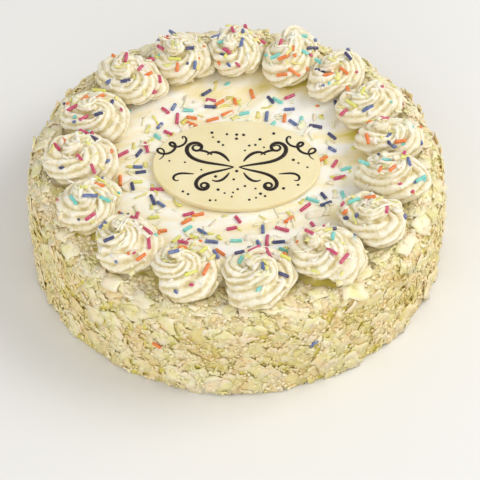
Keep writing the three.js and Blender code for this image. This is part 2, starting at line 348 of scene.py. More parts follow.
def laid(point, outward, along, scale=1.0):
    """A matrix that lays a thing, made lying along X with its back to -Z, on a surface."""
    z = outward.normalized()
    x = (along - along.dot(z) * z).normalized()
    turn = Matrix((x, z.cross(x), z)).transposed().to_4x4()
    return Matrix.Translation(point) @ turn @ Matrix.Scale(scale, 4)


def level_edges(bm):
    """The edges that lie level, which are the rims of an upright prism."""
    return [edge for edge in bm.edges if abs(edge.verts[0].co.z - edge.verts[1].co.z) < 0.01]


def mark_crease_shade(mesh, depth_mm, rounds=6):
    """Writes an attribute of painted shade: 0.5 on flat skin, more in grooves and less on ridges."""
    count = len(mesh.vertices)
    places = np.empty(count * 3)
    mesh.vertices.foreach_get("co", places)
    places = places.reshape(-1, 3) / MM
    normals = np.array([vertex.normal for vertex in mesh.vertices])
    edges = np.empty(len(mesh.edges) * 2, dtype=int)
    mesh.edges.foreach_get("vertices", edges)
    start, end = edges.reshape(-1, 2).T
    neighbours = np.bincount(start, minlength=count) + np.bincount(end, minlength=count)
    spread = places.copy()
    for _ in range(rounds):
        total = np.zeros_like(spread)
        np.add.at(total, start, spread[end])
        np.add.at(total, end, spread[start])
        spread = total / np.maximum(neighbours, 1)[:, None]
    rise = ((spread - places) * normals).sum(axis=1)
    crease_shade = np.clip(0.5 + rise / depth_mm, 0, 1)
    mesh.attributes.new("crease_shade", "FLOAT", "POINT").data.foreach_set("value", crease_shade)


# %% [markdown]
# ## The frosted drum
#
# A cake is filled, stacked and coated, and then a knife is drawn round its side and across its top. The
# drum is a profile spun round the axis, fine enough to carry the knife's marks. The side wanders in and out
# by the same rule as the solid does. On the top, the marks are long shallow ridges that all run roughly one
# way. An attribute named cream says where the icing is painted a deeper yellow: under the rosettes, partly
# yellower cream and partly painted shade between them, and on the side, as painted shade in the gaps
# between the shavings.

# %% The drum
SPIN_STEPS = 260
SIDE_ROUGHNESS = 0.006
# The icing is painted deeper yellow under the rosettes, partly yellower cream and partly painted shade, and
# on the side as painted shade between the shavings.
CREAM_AND_SHADE_STARTS = 52.0
CREAM_AND_SHADE_SPREADS = 18.0
CREAM_IN_THE_MIDDLE = -0.26
CREAM_AND_SHADE_UNDER_ROSETTES = 0.27
SHADE_ON_SIDE = 0.39


def side_radius(bearing, height):
    """Radius of the side, in mm, which wanders with bumps of the size of the shavings."""
    slow = math.sin(3 * bearing + 0.6) + 0.7 * math.sin(7 * bearing + height / 9)
    bumps = math.sin(37 * bearing + height / 3) * math.sin(height / 4 + 19 * bearing)
    return ICING_RADIUS + SIDE_CRAG * (0.3 * slow + bumps)


def knife_mark(x, y):
    """Height, in mm, of what the knife left on the top at x and y."""
    angle = 0.6 + 0.9 * noise.noise(Vector((x, y, 0)) * 0.012)
    along = x * math.cos(angle) + y * math.sin(angle)
    across = y * math.cos(angle) - x * math.sin(angle)
    broad = noise.noise(Vector((along * 0.02, across * 0.09, 3)))
    fine = noise.noise(Vector((along * 0.06, across * 0.4, 8)))
    return 1.2 * broad + 0.3 * fine


def drum_profile():
    """Radius and height along the drum's outline, from the underside's middle to the top's."""
    side_top = CAKE_HEIGHT - SHOULDER
    outline = [(radius, 0) for radius in np.linspace(0, ICING_RADIUS, 5)]
    outline += [(ICING_RADIUS, height) for height in np.linspace(0, side_top, 34)[1:]]
    for angle in np.linspace(0, math.pi / 2, 8)[1:]:
        inner = ICING_RADIUS - SHOULDER
        outline.append((inner + SHOULDER * math.cos(angle), side_top + SHOULDER * math.sin(angle)))
    outline += [(radius, CAKE_HEIGHT) for radius in np.linspace(ICING_RADIUS - SHOULDER, 0, 62)[1:]]
    return outline


def drum_mesh():
    """The frosted drum, spun from its outline and then roughened."""
    bm = bmesh.new()
    verts = [bm.verts.new((radius, 0, height)) for radius, height in drum_profile()]
    edges = [bm.edges.new(pair) for pair in zip(verts, verts[1:])]
    bmesh.ops.spin(
        bm, geom=verts + edges, axis=UP, cent=(0, 0, 0), angle=2 * math.pi, steps=SPIN_STEPS, use_merge=True
    )
    bmesh.ops.remove_doubles(bm, verts=bm.verts, dist=1e-4)
    for vert in bm.verts:
        x, y, z = vert.co
        stretch = side_radius(math.atan2(y, x), z) / ICING_RADIUS
        top_share = min(max((z - CAKE_HEIGHT + 2) / 2, 0), 1)
        rough = noise.noise(vert.co * 0.35) * (1 - top_share)
        stretch += SIDE_ROUGHNESS * rough if z > 0.5 else 0
        vert.co = Vector((x * stretch, y * stretch, z + top_share * knife_mark(x, y))) * MM
    return mesh_of(bm, "frosting")


def mark_cream_and_shade(mesh):
    """Writes the attribute cream, partly painted shade: least in mid top, more under the rosettes, most on
    the side.
    """
    values = []
    for vertex in mesh.vertices:
        x, y, z = vertex.co / MM
        ring = min(max((math.hypot(x, y) - CREAM_AND_SHADE_STARTS) / CREAM_AND_SHADE_SPREADS, 0), 1)
        side = min(max((CAKE_HEIGHT - 1 - z) / SHOULDER, 0), 1)
        values.append(CREAM_AND_SHADE_UNDER_ROSETTES * ring + SHADE_ON_SIDE * side + CREAM_IN_THE_MIDDLE)
    mesh.attributes.new("cream", "FLOAT", "POINT").data.foreach_set("value", values)


frosting_mesh = drum_mesh()
mark_cream_and_shade(frosting_mesh)
mark_crease_shade(frosting_mesh, 0.5)
print("frosting:", len(frosting_mesh.polygons), "faces")

# %% [markdown]
# The top is coated with a whiter, softer icing than the rosettes, and the knife pulled some of the yellower
# cream through it. So the colour runs from ivory to cream in streaks that lie roughly along the knife's
# marks. The streaks are noise, stretched four times as long as it is wide. The attribute cream raises the
# colour to a deeper yellow under the rosettes, partly yellower cream and partly painted shade between them,
# and on the side, where the icing is only seen in the gaps between shavings and the deeper yellow is painted
# shade. The grooves of the knife's marks are painted a little yellower as well, as painted shade.


# %% The frosting's material
def spread_icing():
    """Soft ivory icing, with cream pulled through it by the knife, and painted shade in its grooves."""
    material, tree, shader = new_material(
        "knife_spread_icing",
        Roughness=0.38,
        Subsurface_Weight=0.35,
        Subsurface_Scale=0.0015,
        Subsurface_Radius=(1.0, 0.8, 0.5),
        IOR=1.45,
    )
    place = add_node(tree, "ShaderNodeTexCoord", {}, {}).outputs["Object"]
    bend = add_node(
        tree, "ShaderNodeTexNoise", {}, {"Vector": place, "Scale": scale_for(70), "Detail": 1.0}
    )
    moved = add_node(
        tree,
        "ShaderNodeVectorMath",
        {"operation": "MULTIPLY_ADD"},
        {0: bend.outputs["Color"], 1: (0.05, 0.05, 0.0), 2: place},
    )
    turned = add_node(
        tree,
        "ShaderNodeMapping",
        {},
        {"Vector": moved.outputs[0], "Rotation": (0, 0, -0.6), "Scale": (0.25, 1.0, 1.0)},
    )
    streaks = add_node(
        tree, "ShaderNodeTexNoise", {}, {"Vector": turned.outputs[0], "Scale": scale_for(13), "Detail": 4.0}
    )
    crease_shade = add_node(tree, "ShaderNodeAttribute", {"attribute_name": "crease_shade"}, {}).outputs["Fac"]
    cream = add_node(tree, "ShaderNodeAttribute", {"attribute_name": "cream"}, {}).outputs["Fac"]
    marks = add_node(
        tree, "ShaderNodeMath", {"operation": "MULTIPLY_ADD"}, {0: streaks.outputs["Fac"], 1: 1.5, 2: cream}
    )
    # Painted shade: the grooves of the knife's marks are painted a little yellower.
    shift = add_node(
        tree, "ShaderNodeMath", {"operation": "MULTIPLY_ADD"}, {0: crease_shade, 1: 0.25, 2: marks.outputs[0]}
    )
    # The deepest stops are painted shade, between the rosettes and between the side's shavings.
    stops = [(0.5, "#FBF8F0"), (0.66, "#F9F2DE"), (0.8, "#F4E7BC"), (0.93, "#EFE2A8"), (1.0, "#DDD068")]
    colours = add_node(tree, "ShaderNodeValToRGB", {}, {"Fac": shift.outputs[0]}, stops)
    tree.links.new(colours.outputs["Color"], shader.inputs["Base Color"])
    bump = add_node(
        tree,
        "ShaderNodeBump",
        {},
        {"Height": streaks.outputs["Fac"], "Strength": 0.35, "Distance": 0.0006},
    )
    tree.links.new(bump.outputs["Normal"], shader.inputs["Normal"])
    return material


new_piece("frosting", frosting_mesh, spread_icing(), "crusted_buttercream", "cake_body")

# %% [markdown]
# ## Piped rosettes
#
# A rosette is one rope of buttercream, pushed through a star-shaped nozzle while the hand goes round twice
# and then lifts. A star section is swept along that path, a ring at a time: the ring's edges are extruded
# and the new ring is moved to its place. The section is turned a little at every step, so that the nozzle's
# ridges wind inwards over the rope, as they do when the nozzle isn't turned with the hand. A hand is never
# steady, so noise lets the rope wander and swell. The turns of rope pass through each other, so the sweep
# is remeshed with voxels, which joins them into one skin with a crease where two ropes meet, as soft cream
# does.

# %% The path and the star
RIDGES = 8
RIDGE_DEPTH = 0.15
RIDGE_WINDING = -5.2
STAR_POINTS = 72
STEPS_PER_TURN = 60
CORE_RADII = (9.5, 1.2)
CORE_HEIGHT = 16.0


def rope_at(turn, rosette):
    """Reach, rise and half width of the rope, in mm, smoothed between its stations."""
    spots = np.linspace(turn - 0.1, turn + 0.1, 5)
    reach = np.interp(spots, ROPE_TURNS, ROPE_REACHES).mean()
    rise = np.interp(spots, ROPE_TURNS, ROPE_RISES).mean() * rosette["lift"]
    half = np.interp(spots, ROPE_TURNS, ROPE_HALVES).mean()
    wander = noise.noise_vector(Vector((turn * 3, rosette["start"] * 9, 2)))
    grown = min(1.0, 0.35 + turn / 0.12)
    return reach + 1.4 * wander.x, rise + 0.9 * wander.y, half * grown * (1 + 0.16 * wander.z)


def star_ring(turn, rosette):
    """The rope's star section at a turn, as points in the rosette's own place."""
    reach, rise, half = rope_at(turn, rosette)
    twist = RIDGE_WINDING * turn + rosette["start"] * 3
    spin = rosette["start"] + 2 * math.pi * turn
    ring = []
    for angle in np.linspace(0, 2 * math.pi, STAR_POINTS, endpoint=False):
        tooth = abs(math.cos(RIDGES * (angle + twist) / 2)) ** 0.65
        lump = noise.noise(Vector((turn * 6, angle * 1.5, rosette["start"] * 7)))
        share = half * (1 - RIDGE_DEPTH + 2 * RIDGE_DEPTH * tooth) * (1 + 0.13 * lump)
        out = reach + share * math.cos(angle)
        height = max(rise + share * math.sin(angle), -2 * REST_GAP)
        ring.append(around(spin) * out + UP * height)
    return ring


def coil_bmesh(rosette):
    """Sweeps the star along the rope's path, over a core that fills the middle, and leans them over."""
    bm = bmesh.new()
    first = bmesh.ops.create_circle(bm, segments=STAR_POINTS, radius=1.0, cap_ends=True)["verts"]
    for vert, place in zip(first, star_ring(0, rosette)):
        vert.co = place
    edges = [edge for edge in bm.edges if edge.is_boundary]
    for step in range(1, math.ceil(ROPE_TURNS[-1] * STEPS_PER_TURN) + 1):
        grown = bmesh.ops.extrude_edge_only(bm, edges=edges)["geom"]
        edges = [part for part in grown if isinstance(part, bmesh.types.BMEdge)]
        ring = [part for part in grown if isinstance(part, bmesh.types.BMVert)]
        for vert, place in zip(ring, star_ring(step / STEPS_PER_TURN, rosette)):
            vert.co = place
    bmesh.ops.contextual_create(bm, geom=edges)
    bmesh.ops.create_cone(
        bm,
        segments=24,
        radius1=CORE_RADII[0],
        radius2=CORE_RADII[1],
        depth=CORE_HEIGHT,
        cap_ends=True,
        matrix=Matrix.Translation(UP * CORE_HEIGHT / 2),
    )
    for vert in bm.verts:
        vert.co += around(rosette["leans_to"]) * rosette["lean"] * (vert.co.z / ROPE_RISES[-1]) ** 2
    return bm


# %% [markdown]
# Each rosette fills its wedge of the ring, from halfway to one neighbour to halfway to the other, so the
# sweep is scaled to the width and length that the solid has. It is made a little longer than its wedge,
# because soft neighbours press into each other. After the remesh, a Smooth modifier softens the ridges, as
# warm cream slumps, and noise swells the ropes unevenly. Near its foot a rosette looks golden, from light
# that went into the yellow icing below and from the shade there, so its foot is painted golden: painted
# shade and painted reflected light, added to the groove shade.

# %% The ring of rosettes
VOXEL = 0.4
SOFTENING = 4
SQUEEZE = 1.6
# How high, in mm, and how strongly the rosettes' feet are painted golden, as painted shade and reflected
# light.
FOOT_SHADE_HEIGHT = 7.0
FOOT_SHADE_SHARE = 0.3


def rosette_facts():
    """Where each rosette stands and how it is turned, by the rule that placed the solids."""
    draws = random_from(16)
    facts = []
    for i, peak in enumerate(BEARINGS):
        before = (BEARINGS[i - 1] - peak) % 360 - 360
        after = (BEARINGS[(i + 1) % len(BEARINGS)] - peak) % 360
        width = between(draws, *ROSETTE_WIDTHS)
        start = next(draws) * 2 * math.pi
        lift = between(draws, 0.93, 1.07)
        leans_to = next(draws) * 2 * math.pi
        lean = between(draws, *PEAK_LEANS)
        inner = math.sqrt(RING_RADIUS**2 - (width / 2) ** 2)
        length = 2 * inner * math.tan(math.radians(after - before) / 4) - ROSETTE_GAP
        bearing = math.radians(peak + (before + after) / 4)
        shape = {"start": start, "lift": lift, "leans_to": leans_to, "lean": lean}
        facts.append({"bearing": bearing, "width": width, "length": length, **shape})
    return facts


RING = rosette_facts()


def remeshed(mesh, voxel_mm):
    """Joins what overlaps in a mesh into one closed skin, and softens it."""
    holder = bpy.data.objects.new("remesh_holder", mesh)
    bpy.context.scene.collection.objects.link(holder)
    modifier = holder.modifiers.new("join", "REMESH")
    modifier.mode = "VOXEL"
    modifier.voxel_size = voxel_mm * MM
    modifier.use_smooth_shade = True
    softener = holder.modifiers.new("soften", "SMOOTH")
    softener.factor = 0.5
    softener.iterations = SOFTENING
    graph = bpy.context.evaluated_depsgraph_get()
    joined = bpy.data.meshes.new_from_object(holder.evaluated_get(graph))
    bpy.data.objects.remove(holder)
    return joined


def rosette_mesh(number, rosette):
    """One piped rosette, fitted to its wedge of the ring."""
    bm = coil_bmesh(rosette)
    corners = np.array([vert.co for vert in bm.verts])
    low, high = corners.min(axis=0), corners.max(axis=0)
    middle = Vector(((low[0] + high[0]) / 2, (low[1] + high[1]) / 2, 0))
    length = rosette["length"] + SQUEEZE
    stretch = (rosette["width"] / (high[0] - low[0]), length / (high[1] - low[1]), 1)
    centre = around(rosette["bearing"]) * RING_RADIUS + UP * (CAKE_HEIGHT + REST_GAP)
    place = Matrix.Translation(centre) @ Matrix.Rotation(rosette["bearing"], 4, "Z")
    place = Matrix.Scale(MM, 4) @ place @ Matrix.Diagonal((*stretch, 1)) @ Matrix.Translation(-middle)
    bmesh.ops.transform(bm, matrix=place, verts=bm.verts)
    mesh = remeshed(mesh_of(bm, f"rosette_{number:02d}_sweep"), VOXEL)
    mesh.name = f"rosette_{number:02d}_rope"
    normals = [vertex.normal.copy() for vertex in mesh.vertices]
    for vertex, normal in zip(mesh.vertices, normals):
        place_mm = vertex.co / MM
        pushed = noise.noise_vector(place_mm * 0.11) * 1.3
        swell = 0.5 * noise.noise(place_mm * 0.25) + 0.2 * noise.noise(place_mm * 0.7)
        vertex.co += (pushed + normal * swell) * MM
    # The grooves between the ropes get painted shade.
    mark_crease_shade(mesh, 1.0, 12)
    # Painted shade and reflected light: the foot is painted golden, fading upwards.
    foot_shade = mesh.attributes["crease_shade"].data
    for value, vertex in zip(foot_shade, mesh.vertices):
        value.value += FOOT_SHADE_SHARE * max(1 - (vertex.co.z / MM - CAKE_HEIGHT) / FOOT_SHADE_HEIGHT, 0)
    return mesh


rosettes = []
for i, facts in enumerate(RING, start=1):
    node = f"rosette_{i:02d}"
    piped = new_piece(f"{node}_rope", rosette_mesh(i, facts), piped_cream, "piped_buttercream", node)
    rosettes.append(piped)
print("rosettes:", len(rosettes), "with", sum(len(r.data.polygons) for r in rosettes), "faces")

# %% [markdown]
# ## The crust of shavings
#
# White chocolate scraped with a knife comes off in thin, curled plates with broken edges, in finer shreds,
# in long thin curls, and in soft crumbs. A plate starts as a small grid. Its rim is jogged at random, it is
# curled along its length, and solidify gives it thickness. A crumb is a coarse icosphere that is squashed
# and dented. Each appears hundreds or thousands of times, so none has more than a few dozen faces.


# %% Kinds of shaving
def shaving_kind(draws, length, width, thickness, cells):
    """One thin curled plate with a broken rim, as arrays."""
    bm = bmesh.new()
    bmesh.ops.create_grid(bm, x_segments=cells[0], y_segments=cells[1], size=0.5)
    curl = between(draws, -0.3, 0.7) / length
    for vert in bm.verts:
        jog = 0.38 if vert.is_boundary else 0.1
        x = (vert.co.x + between(draws, -jog, jog) / cells[0]) * length
        narrow = 1 - 0.35 * abs(vert.co.x) * 2 * next(draws)
        y = (vert.co.y * narrow + between(draws, -jog, jog) / cells[1]) * width
        vert.co = Vector((x, y, curl * x * x / 2 + between(draws, -0.12, 0.12)))
    bmesh.ops.solidify(bm, geom=bm.faces[:], thickness=thickness)
    return arrays_of(bm)


def lump_kind(draws, length):
    """One soft crumb, as arrays."""
    bm = bmesh.new()
    bmesh.ops.create_icosphere(bm, subdivisions=1, radius=0.5)
    size = (length, length * between(draws, 0.5, 0.9), length * between(draws, 0.35, 0.6))
    for vert in bm.verts:
        grown = between(draws, 0.75, 1.2)
        vert.co = Vector([grown * part * side for part, side in zip(vert.co, size)])
    return arrays_of(bm)


def shaving_kinds(draws, count, lengths, widths, thickness, cells):
    """Some kinds of one sort of shaving, each with its own length and width."""
    return [
        shaving_kind(draws, between(draws, *lengths), between(draws, *widths), thickness, cells)
        for _ in range(count)
    ]


def lump_kinds(draws, count, lengths):
    """Some kinds of crumb, each with its own length."""
    return [lump_kind(draws, between(draws, *lengths)) for _ in range(count)]


kind_draws = random_from(5)
broad_kinds = shaving_kinds(kind_draws, 28, lengths=(8, 15), widths=(5, 9.5), thickness=0.45, cells=(4, 3))
shred_kinds = shaving_kinds(kind_draws, 28, lengths=(3, 7), widths=(1.4, 3.4), thickness=0.4, cells=(3, 1))
curl_kinds = shaving_kinds(kind_draws, 20, lengths=(6, 11), widths=(0.9, 1.6), thickness=0.4, cells=(5, 1))
crumb_kinds = lump_kinds(kind_draws, 31, lengths=(1.3, 3.2))
print("triangles of a plate:", len(broad_kinds[0][1]), "and of a crumb:", len(crumb_kinds[0][1]))


# %% [markdown]
# The shavings are pressed on in rows, each one shifted, turned and tilted by its own amount: broad plates
# first, then shreds in the gaps between them, and crumbs over both. The drum's skin is found by a ray from
# outside, with a BVH tree, Blender's quick index of a mesh's faces for such rays.

# %% Pressing them on
def tree_of(*meshes):
    """An index of one or more meshes for rays, in metres."""
    points, faces = [], []
    for mesh in meshes:
        faces += [[index + len(points) for index in face.vertices] for face in mesh.polygons]
        points += [vertex.co.copy() for vertex in mesh.vertices]
    return BVHTree.FromPolygons(points, faces)


def landing(tree, start, towards):
    """Where a thing that moves from a point towards another comes to rest, in mm, and the skin's normal."""
    point, normal, _, _ = tree.ray_cast(start * MM, (towards - start).normalized())
    return (None, None) if point is None else (point / MM, normal)


FAR_OUT = 200
drum_tree = tree_of(frosting_mesh)


def pressed_on_side(draws, rows, per_row, lift, tilt, turns):
    """Places for shavings in staggered rows round the side."""
    low, high = 1, CAKE_HEIGHT - SHOULDER
    places = []
    for i in range(rows * per_row):
        row, column = i % rows, i // rows
        bearing = (column + row / 2 + between(draws, -0.5, 0.5)) / per_row * 2 * math.pi
        height = low + (row + between(draws, -0.5, 0.5)) * (high - low) / (rows - 1)
        axis = UP * max(height, 1.5)
        outward, sideways = around(bearing), around(bearing + math.pi / 2)
        point, _ = landing(drum_tree, axis + outward * FAR_OUT, axis)
        facing = outward + sideways * between(draws, -tilt, tilt) + UP * between(draws, -tilt, tilt)
        turn = between(draws, *turns) * math.pi
        along = sideways * math.cos(turn) + UP * math.sin(turn)
        point += outward * between(draws, *lift)
        places.append((i * 7 + row, laid(point, facing, along, between(draws, 0.8, 1.15)), next(draws)))
    return places


def pressed_on_rim(draws, count, lift, slopes):
    """Places for shavings over the rounded shoulder, outside the rosettes."""
    places = []
    for i in range(count):
        bearing = (i + between(draws, -0.5, 0.5)) / count * 2 * math.pi
        slope = math.radians(between(draws, *slopes))
        outward = around(bearing)
        facing = outward * math.cos(slope) + UP * math.sin(slope)
        middle = outward * (ICING_RADIUS - SHOULDER) + UP * (CAKE_HEIGHT - SHOULDER)
        point, _ = landing(drum_tree, middle + facing * FAR_OUT, middle)
        point += facing * between(draws, *lift)
        facing += around(next(draws) * 2 * math.pi) * 0.15
        along = around(bearing + math.pi / 2) + UP * between(draws, -1, 1)
        places.append((i * 5, laid(point, facing, along, between(draws, 0.7, 1.0)), next(draws)))
    return places


COATS = {
    "broad_shavings": {
        "kinds": broad_kinds,
        "side": {"rows": 7, "per_row": 84, "lift": (0.1, 0.8), "tilt": 0.06, "turns": (0.2, 0.8)},
        "rim": {"count": 150, "lift": (0.0, 0.5), "slopes": (0, 70)},
    },
    "fine_shavings": {
        "kinds": shred_kinds,
        "side": {"rows": 10, "per_row": 120, "lift": (0.2, 1.1), "tilt": 0.3, "turns": (0, 1)},
        "rim": {"count": 420, "lift": (0.1, 0.6), "slopes": (10, 88)},
    },
    "crumbs": {
        "kinds": crumb_kinds,
        "side": {"rows": 26, "per_row": 180, "lift": (0.3, 1.2), "tilt": 0.5, "turns": (0, 1)},
        "rim": {"count": 1300, "lift": (0.3, 1.0), "slopes": (0, 92)},
    },
}
side_draws = random_from(11)
for name, coat in COATS.items():
    places = pressed_on_side(side_draws, **coat["side"]) + pressed_on_rim(side_draws, **coat["rim"])
    new_piece(name, scattered(name, coat["kinds"], places), crust_shavings, "white_chocolate", "cake_body")

# %% [markdown]
# ## The plaque
#
# The plaque is white chocolate that was poured in a shallow oval mould and turned out. It is an ellipse,
# extruded to its thickness, with its rims bevelled round, because melted chocolate keeps no sharp edge.

# %% Plaque
PLAQUE_EDGE = 0.8
plaque_top = CAKE_HEIGHT + REST_GAP + PLAQUE[2]


def plaque_mesh():
    """An oval plate with rounded rims, on the top of the cake."""
    bm = bmesh.new()
    bmesh.ops.create_circle(bm, segments=128, radius=0.5, cap_ends=True)
    bmesh.ops.scale(bm, vec=(PLAQUE[0], PLAQUE[1], 1), verts=bm.verts)
    grown = bmesh.ops.extrude_face_region(bm, geom=bm.faces[:])["geom"]
    top = [part for part in grown if isinstance(part, bmesh.types.BMVert)]
    bmesh.ops.translate(bm, vec=(0, 0, PLAQUE[2]), verts=top)
    bmesh.ops.bevel(
        bm, geom=level_edges(bm), offset=PLAQUE_EDGE, segments=4, profile=0.5, affect="EDGES", material=-1
    )
    bmesh.ops.translate(bm, vec=UP * (CAKE_HEIGHT + REST_GAP), verts=bm.verts)
    bmesh.ops.scale(bm, vec=(MM, MM, MM), verts=bm.verts)
    return mesh_of(bm, "plaque")


def moulded_chocolate():
    """White chocolate that set in a mould: an even cream yellow with a soft gloss and faint waves."""
    material, tree, shader = new_material(
        "moulded_white_chocolate",
        Roughness=0.32,
        Subsurface_Weight=0.25,
        Subsurface_Scale=0.0015,
        Subsurface_Radius=(1.0, 0.8, 0.4),
        IOR=1.46,
    )
    place = add_node(tree, "ShaderNodeTexCoord", {}, {}).outputs["Object"]
    clouds = add_node(
        tree, "ShaderNodeTexNoise", {}, {"Vector": place, "Scale": scale_for(22), "Detail": 3.0}
    )
    stops = [(0.35, "#F0E5BE"), (0.65, "#EBDDAC")]
    colours = add_node(tree, "ShaderNodeValToRGB", {}, {"Fac": clouds.outputs["Fac"]}, stops)
    tree.links.new(colours.outputs["Color"], shader.inputs["Base Color"])
    bump = add_node(
        tree, "ShaderNodeBump", {}, {"Height": clouds.outputs["Fac"], "Strength": 0.3, "Distance": 0.0006}
    )
    tree.links.new(bump.outputs["Normal"], shader.inputs["Normal"])
    return material


new_piece("plaque", plaque_mesh(), moulded_chocolate(), "white_chocolate", "chocolate_plaque")
print(f"plaque: {PLAQUE[0]} by {PLAQUE[1]} mm, its top at {plaque_top:.1f} mm")

# %% [markdown]
# The plaque's print is dark cocoa butter, a few tenths of a millimetre thick. Its strokes are curves: a
# bevel gives a curve a round section, and a radius at each point makes the stroke swell and taper as a pen
# does. The curves are turned to mesh, flattened, and set on the plaque. The design is a mirrored scroll,
# whose arms bend ever tighter from their start to their end, with a party streamer on each side.

# %% Strokes of the print
STROKE_HEIGHT = 0.3
ARM_STEPS = 48
STEPS_PER_LOOP = 24
FIRST_LOOP_ANGLE = -1.2
SCROLL_ARMS = [
    {"start": (1.2, -2.0), "heading": 18, "length": 50, "bends": (-0.02, 0.66), "width": 2.1},
    {"start": (1.2, -2.0), "heading": -26, "length": 42, "bends": (0.03, -0.84), "width": 1.9},
    {"start": (3.4, 1.6), "heading": 64, "length": 14, "bends": (-0.05, -0.4), "width": 1.8},
    {"start": (3.4, -5.6), "heading": -66, "length": 11, "bends": (0.05, 0.45), "width": 1.5},
    {"start": (11.5, 6.0), "heading": 46, "length": 9, "bends": (-0.08, -0.3), "width": 1.5},
    {"start": (20.0, -6.5), "heading": 4, "length": 15, "bends": (0.02, -0.85), "width": 1.4},
]


def scroll_arm(arm, side):
    """A stroke that bends tighter and tighter from its start, on the right (1) or mirrored (-1)."""
    x, y = arm["start"]
    heading = math.radians(arm["heading"])
    points = []
    for i in range(ARM_STEPS + 1):
        points.append((side * x, y))
        bend = arm["bends"][0] + (arm["bends"][1] - arm["bends"][0]) * (i / ARM_STEPS) ** 2
        heading += bend * arm["length"] / ARM_STEPS
        x += math.cos(heading) * arm["length"] / ARM_STEPS
        y += math.sin(heading) * arm["length"] / ARM_STEPS
    return points


def streamer(start, heading, loops, size, side):
    """A curled ribbon: loops that grow along a line."""
    steps = round(loops * STEPS_PER_LOOP)
    turn = math.radians(heading)
    points = []
    for i in range(steps + 1):
        angle = i / STEPS_PER_LOOP * 2 * math.pi + FIRST_LOOP_ANGLE
        loop = size * (0.75 + 0.35 * i / steps)
        along = angle * size * 0.4 - math.sin(angle) * loop
        across = math.cos(angle) * loop
        x = start[0] + along * math.cos(turn) - across * math.sin(turn)
        points.append((side * x, start[1] + along * math.sin(turn) + across * math.cos(turn)))
    return points


def stroke_mesh(name, strokes):
    """Turns pen strokes, each a list of points and a width in mm, into one raised mesh."""
    curve = bpy.data.curves.new(name, "CURVE")
    curve.dimensions = "3D"
    curve.bevel_depth = 0.5
    curve.bevel_resolution = 2
    curve.use_fill_caps = True
    for points, width in strokes:
        line = curve.splines.new("POLY")
        line.points.add(len(points) - 1)
        for i, (spot, point) in enumerate(zip(line.points, points)):
            share = i / (len(points) - 1)
            spot.co = (point[0], point[1], 0, 1)
            spot.radius = width * (0.3 + 0.7 * math.sin(math.pi * share) ** 0.7)
    holder = bpy.data.objects.new(name, curve)
    bpy.context.scene.collection.objects.link(holder)
    graph = bpy.context.evaluated_depsgraph_get()
    mesh = bpy.data.meshes.new_from_object(holder.evaluated_get(graph))
    bpy.data.objects.remove(holder)
    widest = max(width for _, width in strokes)
    flat = Matrix.Diagonal((1, 1, 2 * STROKE_HEIGHT / widest, 1))
    mesh.transform(Matrix.Scale(MM, 4) @ Matrix.Translation(UP * plaque_top) @ flat)
    return mesh


def cocoa_print():
    """Dark cocoa butter, printed a few tenths of a millimetre thick, almost black with a soft gloss."""
    material, tree, shader = new_material("dark_cocoa_butter", Roughness=0.35, IOR=1.46)
    place = add_node(tree, "ShaderNodeTexCoord", {}, {}).outputs["Object"]
    worn = add_node(tree, "ShaderNodeTexNoise", {}, {"Vector": place, "Scale": scale_for(2), "Detail": 2.0})
    stops = [(0.35, "#140803"), (0.75, "#2C170B")]
    colours = add_node(tree, "ShaderNodeValToRGB", {}, {"Fac": worn.outputs["Fac"]}, stops)
    tree.links.new(colours.outputs["Color"], shader.inputs["Base Color"])
    return material


strokes = []
for side in (-1, 1):
    strokes += [(scroll_arm(arm, side), arm["width"]) for arm in SCROLL_ARMS]
    strokes.append((streamer((24.5, 16.5), heading=-38, loops=2.7, size=2.8, side=side), 1.5))
cocoa = cocoa_print()
strokes_mesh = stroke_mesh("plaque_strokes", strokes)
new_piece("plaque_strokes", strokes_mesh, cocoa, "dark_chocolate", "chocolate_plaque")
print("strokes on the plaque:", len(strokes))

# %% [markdown]
# A scatter of dots fills the plaque between its strokes. A dot of print is a low disc that narrows to its
# top, so it is a short cone. Spots are drawn at random over the oval, and one that comes too close to a
# stroke or to another dot is drawn again.

# %% Dots of the print
DOT_RADII = (0.55, 0.7, 0.85)
DOT_COUNT = 40
DOT_CLEARANCE = 2.6
DOT_MARGIN = 4.0


def dot_kind(radius):
    """A low round dot of print, as arrays."""
    bm = bmesh.new()
    bmesh.ops.create_cone(
        bm, segments=12, radius1=radius, radius2=radius * 0.7, depth=STROKE_HEIGHT, cap_ends=True
    )
    return arrays_of(bm)


def dot_places(draws, count):
    """Spots on the plaque that are clear of its strokes and of each other."""
    taken = [Vector(point) for points, _ in strokes for point in points]
    places = []
    while len(places) < count:
        reach, bearing = math.sqrt(next(draws)), next(draws) * 2 * math.pi
        across = reach * math.cos(bearing) * (PLAQUE[0] / 2 - DOT_MARGIN)
        upwards = reach * math.sin(bearing) * (PLAQUE[1] / 2 - DOT_MARGIN)
        spot = Vector((across, upwards))
        if all((spot - other).length > DOT_CLEARANCE for other in taken):
            taken.append(spot)
            height = plaque_top + STROKE_HEIGHT * 0.4
            places.append((len(places), Matrix.Translation((spot.x, spot.y, height)), 0.5))
    return places


dot_kinds = [dot_kind(radius) for radius in DOT_RADII]
dots = scattered("plaque_dots", dot_kinds, dot_places(random_from(3), DOT_COUNT))
new_piece("plaque_dots", dots, cocoa, "dark_chocolate", "chocolate_plaque")

# %% [markdown]
# ## Sprinkles
#
# Sprinkles are sugar paste pushed through a small hole and cut to rods while soft, so many are slightly
# bent. A cylinder has its rims bevelled, is cut across three times, and is bent. Some were crushed as they
# were pressed in, and those bits are small lumps of the same sugar.

# %% Kinds of sprinkle
ROD_LENGTHS = np.linspace(4.2, 7.0, 16)
ROD_ROUNDING = 0.22


